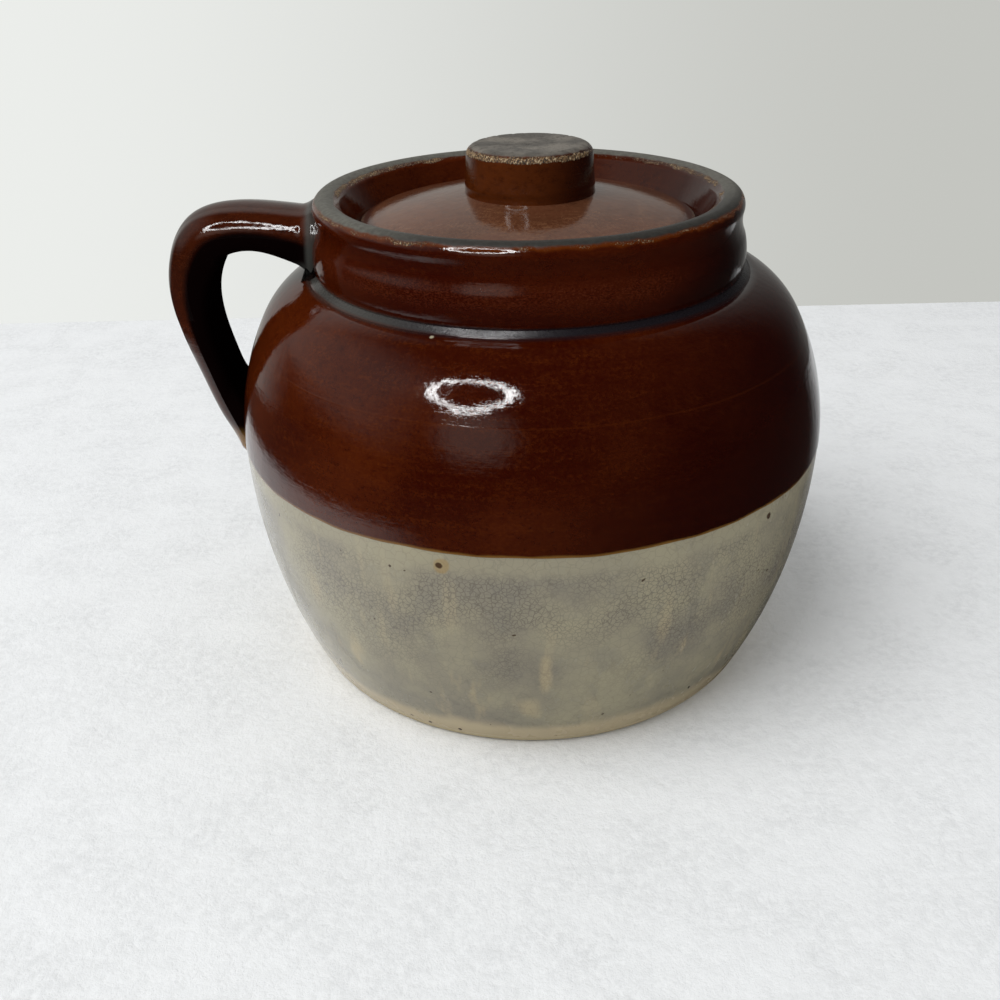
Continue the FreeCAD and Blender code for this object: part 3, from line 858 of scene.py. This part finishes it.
def linerPoints(inset):
    # inside of the vessel from the throat down to the floor; inset moves it into the wall
    glaze = v["glaze"] - inset
    wallIn = v["wall"] + glaze
    throat = v["throatRadius"] - glaze
    throatFoot = (throat, seatHeight - v["throatDepth"] - glaze)
    gallery = (v["grooveRadius"] - wallIn - v["neckExtra"], throatFoot[1] - v["slopeDrop"])
    innerNeck = math.acos((gallery[0] - shoulderCentre[0]) / (v["shoulderRadius"] - wallIn))
    neck = onCircle(shoulderCentre, v["shoulderRadius"] - wallIn, innerNeck)
    neckMiddle = onCircle(shoulderCentre, v["shoulderRadius"] - wallIn, (breakAngle + innerNeck) / 2)
    innerBreak = onCircle(shoulderCentre, v["shoulderRadius"] - wallIn, breakAngle)
    sweepMiddle = onCircle(sweepCentre, v["sweepRadius"] - wallIn, breakAngle / 2)
    belly = (v["bellyRadius"] - wallIn, v["bellyHeight"])
    corner = v["floorCorner"] - glaze
    cornerReach = lowerArc - wallIn - corner
    cornerAngle = math.asin((v["floor"] + v["floorCorner"] - v["bellyHeight"]) / cornerReach)
    cornerCentre = onCircle(lowerCentre, cornerReach, cornerAngle)
    wallFoot = onCircle(lowerCentre, lowerArc - wallIn, cornerAngle)
    cornerMiddle = onCircle(cornerCentre, corner, (cornerAngle - math.pi / 2) / 2)
    floorEdge = (cornerCentre[0], v["floor"] + glaze)
    points = linePoints((throat, seatHeight - 1.0), throatFoot, 0.8)
    points += linePoints(throatFoot, gallery, 1.0)
    points += linePoints(gallery, neck, 1.5)
    points += arcPoints(neck, neckMiddle, innerBreak, 2.0)
    points += arcPoints(innerBreak, sweepMiddle, belly, 2.5)
    points += arcPoints(belly, onCircle(lowerCentre, lowerArc - wallIn, cornerAngle / 2), wallFoot, 2.5)
    points += arcPoints(wallFoot, cornerMiddle, floorEdge, 1.5)
    points += linePoints(floorEdge, (0.0, floorEdge[1]), 4.0)
    return points + [(0.0, floorEdge[1])]


def makeLiner():
    outline = list(reversed(linerPoints(0.0))) + linerPoints(v["shellThickness"] * 0.7)
    piece = turnedPiece("innerLiner", outline, [makeLinerGlaze()], v["linerSteps"])
    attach(piece, "pot")
    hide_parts("liner_glaze")
    return piece


makeUpperVessel()
makeLowerVessel()
makeLiner()
print("vessel made")


# handle

handle = dict(
    width=24.2, outerRound=6.8, innerRound=2.6, crown=0.9,
    # stations on the outer face: out, up, strap thickness
    fromCollar=[(-6.9, -4.7, 18.0), (5.1, -3.1, 14.0), (15.6, -1.9, 12.2)],
    fromRim=[(8.2, -5.6, 15.2)],
    fromBelly=[(16.9, 49.6, 13.5), (11.3, 20.9, 9.4), (3.9, 0.5, 9.4), (-3.0, -8.4, 9.2)],
    fillet=2.0, filletReach=4.5,
    buried=1.6,           # the ends stop this far inside the wall
    innerFrom=0.58,       # the matte glaze of the inner side, with its painted shade, starts this share of the way to the inner face
    outerMost=0.6, innerMost=0.3,   # most of the thickness that the roundings may take
    spreadAcross=0.6,     # the roots spread less across than along the strap
    collarTaper=0.12, rootAbove=2.0, rootBlend=3.0,
    steps=170, roundSteps=6, faceSteps=10,
)


def smoothThrough(knots, count):
    # natural cubic spline through the knots, spaced by chord length
    knots = np.array(knots, float)
    chords = np.linalg.norm(np.diff(knots[:, :2], axis=0), axis=1)
    at = np.concatenate([[0], np.cumsum(chords)])
    size = len(knots)
    system = np.eye(size)
    right = np.zeros_like(knots)
    for i in range(1, size - 1):
        system[i, i - 1:i + 2] = chords[i - 1], 2 * (chords[i - 1] + chords[i]), chords[i]
        right[i] = 6 * ((knots[i + 1] - knots[i]) / chords[i] - (knots[i] - knots[i - 1]) / chords[i - 1])
    bend = np.linalg.solve(system, right)
    places = []
    for t in np.linspace(0, at[-1], count):
        i = min(size - 2, int(np.searchsorted(at, t, side="right")) - 1)
        h = chords[i]
        a, b = at[i + 1] - t, t - at[i]
        places.append((bend[i] * a ** 3 + bend[i + 1] * b ** 3) / (6 * h)
                      + (knots[i] / h - bend[i] * h / 6) * a + (knots[i + 1] / h - bend[i + 1] * h / 6) * b)
    return np.array(places)


def strapSection(width, thickness):
    # closed section: across is y, inward depth runs from 0 at the outer face to thickness
    h = handle
    half = width / 2
    outer = min(h["outerRound"], thickness * h["outerMost"])
    inner = min(h["innerRound"], thickness * h["innerMost"])
    angles = [math.pi / 2 * step / h["roundSteps"] for step in range(h["roundSteps"])]
    turns = [(math.sin(angle), math.cos(angle)) for angle in angles]
    shares = [-1 + 2 * step / h["faceSteps"] for step in range(h["faceSteps"])]
    points = [(share * (half - outer), h["crown"] * share ** 2) for share in shares]
    points += [(half - outer + outer * s, h["crown"] + outer - outer * c) for s, c in turns]
    points += [(half - inner + inner * c, thickness - inner + inner * s) for s, c in turns]
    points += [(-share * (half - inner), thickness) for share in shares]
    points += [(-half + inner - inner * s, thickness - inner + inner * c) for s, c in turns]
    points += [(-half + outer - outer * c, h["crown"] + outer - outer * s) for s, c in turns]
    return points


def potRadiusAt(height):
    # outer radius of pot and collar at a height
    taper = handle["collarTaper"] * max(0.0, height - collarFoot - v["collarSwell"])
    collar = v["collarRadius"] + v["glaze"] - taper
    rise = height - neckHeight + handle["rootAbove"]
    share = min(1, max(0.0, rise / (v["grooveRise"] + handle["rootBlend"])))
    return wallRadius(min(height, neckHeight)) * (1 - share) + collar * share


def makeHandle():
    h = handle
    knots = [(v["collarRadius"] + out, rimHeight + up, thick) for out, up, thick in h["fromCollar"]]
    knots += [(v["bellyRadius"] + out, rimHeight + up, thick) for out, up, thick in h["fromRim"]]
    knots += [(v["bellyRadius"] + out, v["bellyHeight"] + up, thick) for out, up, thick in h["fromBelly"]]
    path = smoothThrough(knots, h["steps"])
    along = np.gradient(path[:, :2], axis=0)
    along /= np.linalg.norm(along, axis=1)[:, None]
    points = []
    gaps = []
    shares = []
    perRing = 0
    for (out, up, thick), (ax, az) in zip(path, along):
        section = strapSection(h["width"], thick)
        perRing = len(section)
        inward = (az, -ax)   # towards the finger gap
        middleOut, middleUp = out + inward[0] * thick / 2, up + inward[1] * thick / 2
        for across, depth in section:
            x, z, y = out + inward[0] * depth, up + inward[1] * depth, across
            gap = math.hypot(x, y) - potRadiusAt(z)
            spread = h["fillet"] * max(0.0, 1 - max(0.0, gap) / h["filletReach"]) ** 2
            away = Vector((x - middleOut, y * h["spreadAcross"], z - middleUp)).normalized()
            x, y, z = x + away.x * spread, y + away.y * spread, z + away.z * spread
            radius = math.hypot(x, y)
            least = potRadiusAt(z) - h["buried"]
            if radius < least:
                x, y = x * least / radius, y * least / radius
            points.append((-x * mm, y * mm, z * mm))
            gaps.append(max(0.0, gap))
            shares.append(depth / thick)
    faces = []
    sides = []
    for ring in range(h["steps"] - 1):
        for step in range(perRing):
            after = (step + 1) % perRing
            low, high = ring * perRing, (ring + 1) * perRing
            faces.append([low + step, high + step, high + after, low + after])
            sides.append(int(shares[low + step] + shares[low + after] > 2 * h["innerFrom"]))
    faces.append(list(range(perRing)))
    faces.append(list(reversed(range((h["steps"] - 1) * perRing, h["steps"] * perRing))))
    sides += [0, 0]
    glazes = [makeHandleGlaze("handleBrownGlaze", 0.5), makeHandleGlaze("handleInnerGlaze", 0.0)]
    piece = meshPiece("handleStrap", points, faces, glazes, sides)
    piece.data.attributes.new("depthShare", "FLOAT", "POINT").data.foreach_set("value", shares)
    piece.data.attributes.new("rootGap", "FLOAT", "POINT").data.foreach_set("value", gaps)
    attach(piece, "pot")
    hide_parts("handle")
    return piece


makeHandle()
print("handle made")


# lid and knob

lid = dict(
    clearance=0.5, edgeRise=4.3, edgeStraight=1.9, edgeIn=1.0,
    marginWidth=2.8, marginRise=1.3, domeRise=6.5, thickness=6.0,
    flangeClearance=1.2, flangeDepth=5.0, flangeWidth=5.5, steps=360,
)
knob = dict(
    radius=19.0, topRadius=18.3, rise=12.9, sink=1.0,
    flare=0.35, flareHeight=2.8, flareShare=0.3, edgeRound=2.6, offset=0.8,
    topDish=0.35,         # the middle of the top sank a little as it dried
    flareSink=0.35,       # the flare ends this far below the dome, so that no edge shows
    wander=1.7, unevenness=0.15, chips=6.0, chipDepth=0.35, steps=300,
)

lidRadius = v["seatRadius"] - v["glaze"] - lid["clearance"]
marginRadius = lidRadius - lid["edgeIn"]
marginHeight = seatHeight + lid["edgeRise"]
domeRadius = marginRadius - lid["marginWidth"]
domeEdge = marginHeight + lid["marginRise"]
lidTop = domeEdge + lid["domeRise"]
domeSphere = (domeRadius ** 2 + lid["domeRise"] ** 2) / (2 * lid["domeRise"])


def domeHeight(radius):
    return lidTop - domeSphere + math.sqrt(domeSphere ** 2 - radius ** 2)


def makeLid():
    coat = v["glaze"]
    flange = v["throatRadius"] - v["glaze"] - lid["flangeClearance"]
    flangeFoot = seatHeight - lid["flangeDepth"]
    flangeIn = flange - lid["flangeWidth"]
    edgeLevel = seatHeight + lid["edgeStraight"]
    dome = [(r, domeHeight(r) + coat) for r in np.linspace(0, domeRadius - 0.6, 56)]
    margin = arcPoints((domeRadius, domeEdge + coat - 0.1), (marginRadius - 1.1, marginHeight + 0.95),
                       (marginRadius + coat, marginHeight), 0.3)
    margin += linePoints((marginRadius + coat, marginHeight), (lidRadius, edgeLevel), 0.4)
    margin += [(lidRadius, edgeLevel), (lidRadius, seatHeight + 0.4), (lidRadius - 0.3, seatHeight)]
    topRings = len(dome) + len(margin) - 2
    under = linePoints((lidRadius - 0.3, seatHeight), (flange, seatHeight), 1.5)[1:]
    under += linePoints((flange, seatHeight), (flange, flangeFoot + 0.6), 1.0)
    under += [(flange - 0.15, flangeFoot + 0.15), (flange - 0.6, flangeFoot), (flangeIn + 0.6, flangeFoot),
              (flangeIn + 0.15, flangeFoot + 0.15), (flangeIn, flangeFoot + 0.6)]
    under += [(r, domeHeight(r) - lid["thickness"]) for r in np.linspace(flangeIn, 0, 24)]
    piece = turnedPiece("lidPlate", dome + margin + under, [makeLidGlaze(), makeBareClay()], lid["steps"],
                        ringMaterial=lambda index: 0 if index < topRings else 1)
    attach(piece, "lid")
    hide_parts("lid_plate", "lid_glaze")
    return piece


def makeKnob():
    k = knob
    coat = v["glaze"]
    flareFoot = domeHeight(k["radius"]) - k["flareSink"]
    top = lidTop + k["rise"]
    side = k["radius"] + coat
    flareTop = domeHeight(k["radius"]) + k["flareHeight"]
    centre = (k["topRadius"] - k["edgeRound"], top - k["edgeRound"])
    flareMiddle = (side + k["flare"] * k["flareShare"], flareFoot + k["flareHeight"] * k["flareShare"])
    outline = [(0.0, flareFoot - k["sink"])]
    outline += linePoints((side + k["flare"], flareFoot - k["sink"]), (side + k["flare"], flareFoot), 0.5)
    outline += arcPoints((side + k["flare"], flareFoot), flareMiddle, (side, flareTop), 0.3)
    outline += linePoints((side, flareTop), (k["topRadius"] + coat, centre[1]), 0.5)
    outline += arcPoints((k["topRadius"] + coat, centre[1]), onCircle(centre, k["edgeRound"], math.pi / 4),
                         (centre[0], top), 0.25)
    for radius in np.linspace(centre[0], 0, 18):
        outline.append((radius, top - k["topDish"] * (1 - (radius / centre[0]) ** 2) ** 2))

    def worn(radius, height, angle):
        # the edge of the top is a little uneven and chipped
        place = Vector((math.cos(angle), math.sin(angle), height * 0.05)) * k["wander"]
        onEdge = min(1, max(0.0, (height - centre[1]) / k["edgeRound"]))
        chip = max(0.0, noise.noise(place * k["chips"])) * k["chipDepth"] * onEdge
        return radius - k["unevenness"] * (1 + noise.noise(place)) - chip, height - chip * 0.5

    piece = turnedPiece("lidKnob", outline, [makeKnobGlaze()], k["steps"], worn)
    piece.data.transform(Matrix.Translation((k["offset"] * mm, 0, 0)))
    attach(piece, "lid")
    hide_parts("lid_knob", "knob_glaze")
    return piece


makeLid()
makeKnob()
print("lid and knob made")


# table, surroundings, lights

table = dict(
    # metres: half its width, and from the pot's axis to its far edge
    reach=3.0, backEdge=0.314,
    colour=(238, 240, 241), shade=(222, 224, 225),
    fibre=(0.3, 5.0, 0.75, (1, 1, 1), 0.0, 0.3, 0.75), tuft=(0.05, 4.0, 0.65, (1, 1, 1), 13.0, 0.3, 0.7),
    rough=0.8, fibreRough=0.1, depth=0.2,
    # millimetres: where, in glossy rays, the table is painted the dark of the room beyond
    mirrored=(264.0, 330.0), rightEdge=(260.0, 140.0), frontLean=0.8, frontFade=(-60.0, 120.0),
    beyond=(40, 36, 34),
)


def makeTable():
    t = table
    turn = Matrix.Rotation(math.radians(studio["azimuth"] - 90), 3, "Z")
    reach, back = t["reach"], t["backEdge"]
    corners = [(-reach, -reach), (reach, -reach), (reach, back), (-reach, back)]
    points = [turn @ Vector((x, y, 0)) for x, y in corners]
    material, shader, here = newMaterial("feltTable")
    place = here["Place"]
    fibre, tuft = (patches(place, t[name]) for name in ("fibre", "tuft"))
    tint = mixColour(both(fibre, tuft), colour(*t["colour"]), colour(*t["shade"]))
    # painted reflection: far from the pot and towards the front, glossy rays see the table painted dark, so
    # the glaze mirrors a dark room
    glossy = addNode("ShaderNodeLightPath").outputs["Is Glossy Ray"]
    axes = addNode("ShaderNodeSeparateXYZ", {0: place}).outputs
    beyond = both(ramp(here["Radius"], *t["mirrored"]), ramp(axes["X"], *t["rightEdge"]))
    front = calc("SUBTRACT", both(axes["X"], t["frontLean"]), axes["Y"])
    unlit = calc("MAXIMUM", beyond, ramp(front, *t["frontFade"]))
    tint = paint(tint, glossy, t["beyond"], unlit)
    rough = calc("ADD", t["rough"], both(fibre, t["fibreRough"]))
    finishSurface(shader, tint, rough, fibre, t["depth"])
    piece = meshPiece("tableTop", points, [[0, 1, 2, 3]], [material])
    return piece


studio = dict(
    eye=(-15.8, -302.2, 213.6), azimuth=88.916, pitch=29.757, roll=-1.28, lens=35.877,
    sensor=36, near=0.01,
    fill=0.5,            # light from all round
    # painted shade: the backdrop is paler on the left, towards the lamp, and darker to the right
    wallLeft=(236, 238, 235), wallRight=(196, 197, 192), wallAcross=(-0.45, 0.45),
    # what the glaze mirrors, as parts of a direction
    behind=(0.3, 0.75), behindAcross=(0.95, -0.1),
    left=(-0.35, -0.75), leftUp=(0.05, 0.3), leftBack=(-0.75, -0.2), leftShare=0.8,
    roomDark=(34, 31, 30), roomPale=(176, 176, 172),
    window=(-0.38, -0.84, 0.38), windowSize=(0.36, 0.12), windowStretch=(1, 1, 1.4),
    windowPale=(208, 194, 184),
)


def makeCamera():
    s = studio
    az, pitch, roll = (math.radians(s[key]) for key in ("azimuth", "pitch", "roll"))
    forward = Vector((math.cos(az) * math.cos(pitch), math.sin(az) * math.cos(pitch), -math.sin(pitch)))
    right = Vector((math.sin(az), -math.cos(az), 0))
    up = right.cross(forward)
    tiltRight = math.cos(roll) * right + math.sin(roll) * up
    tiltUp = -math.sin(roll) * right + math.cos(roll) * up
    camera = bpy.data.objects.new("camera", bpy.data.cameras.new("camera"))
    turn = Matrix((tiltRight, tiltUp, -forward)).transposed().to_4x4()
    camera.matrix_world = Matrix.Translation(Vector(s["eye"]) * mm) @ turn
    camera.data.lens = s["lens"]
    camera.data.sensor_width = s["sensor"]
    camera.data.clip_start = s["near"]
    bpy.context.scene.collection.objects.link(camera)
    bpy.context.scene.camera = camera


def makeWorld():
    # what the camera sees behind the table is pale; the glaze also mirrors a darker room in front
    s = studio
    world = bpy.data.worlds.new("studio")
    bpy.context.scene.world = world
    startTree(world)
    direction = addNode("ShaderNodeTexCoord").outputs["Generated"]
    axes = addNode("ShaderNodeSeparateXYZ", {0: direction}).outputs
    # painted shade: the wall is painted darker to the right, away from the lamp
    wall = mixColour(ramp(axes["X"], *s["wallAcross"]), colour(*s["wallLeft"]), colour(*s["wallRight"]))
    # mirrored room: a pale wall behind and on the left, one bright window, dark elsewhere
    behind = both(ramp(axes["Y"], *s["behind"]), ramp(axes["X"], *s["behindAcross"]))
    left = both(ramp(axes["X"], *s["left"]), ramp(axes["Z"], *s["leftUp"]),
                ramp(axes["Y"], *s["leftBack"]))
    pale = calc("MAXIMUM", behind, both(left, s["leftShare"]))
    room = mixColour(pale, colour(*s["roomDark"]), colour(*s["roomPale"]))
    towards = Vector(s["window"]).normalized()
    away = vectorCalc("SUBTRACT", direction, tuple(towards))
    away = vectorCalc("LENGTH", vectorCalc("MULTIPLY", away, s["windowStretch"]))
    room = paint(room, ramp(away, *s["windowSize"]), s["windowPale"])
    path = addNode("ShaderNodeLightPath").outputs
    seen = calc("ADD", path["Is Glossy Ray"], path["Is Transmission Ray"], True)
    tint = mixColour(seen, [s["fill"]] * 3 + [1], room)
    tint = mixColour(path["Is Camera Ray"], tint, wall)
    shade = addNode("ShaderNodeBackground", {"Color": tint, "Strength": 1.0})
    joinTo(addNode("ShaderNodeOutputWorld"), {"Surface": shade.outputs[0]})


lamps = dict(
    # metres and watts; aim is how high above the table each one points
    soft=dict(place=(-1.15, -0.65, 2.1), aim=0.08, size=1.9, power=44.0),
    ring=dict(place=(-0.27, -0.47, 0.637), aim=0.1, inner=0.167, outer=0.199, steps=96,
             strength=30.0),
)


def makeLamps():
    s = lamps["soft"]
    data = bpy.data.lights.new("softLamp", "AREA")
    data.shape = "DISK"
    data.size = s["size"]
    data.energy = s["power"]
    lamp = bpy.data.objects.new("softLamp", data)
    lamp.location = s["place"]
    lamp.rotation_euler = (Vector(s["place"]) - Vector((0, 0, s["aim"]))).to_track_quat("Z", "Y").to_euler()
    lamp.visible_glossy = False
    bpy.context.scene.collection.objects.link(lamp)
    # ring lamp, seen only as a highlight in the glaze
    r = lamps["ring"]
    steps = r["steps"]
    aim = (Vector(r["place"]) - Vector((0, 0, r["aim"]))).to_track_quat("Z", "Y")
    points = []
    for radius in (r["inner"], r["outer"]):
        for step in range(steps):
            angle = 2 * math.pi * step / steps
            flat = Vector((math.cos(angle), math.sin(angle), 0)) * radius
            points.append(Vector(r["place"]) + aim @ flat)
    faces = [[i, (i + 1) % steps, steps + (i + 1) % steps, steps + i] for i in range(steps)]
    material = bpy.data.materials.new("ringLight")
    startTree(material)
    glow = addNode("ShaderNodeEmission", {"Color": (1, 1, 1, 1), "Strength": r["strength"]})
    joinTo(addNode("ShaderNodeOutputMaterial"), {"Surface": glow.outputs[0]})
    ring = meshPiece("ringLamp", points, faces, [material])
    ring.visible_camera = False
    ring.visible_diffuse = False
    ring.visible_shadow = False


makeTable()
makeCamera()
makeWorld()
makeLamps()
bpy.context.scene.view_settings.view_transform = "Standard"
print("table, camera and lamps made")
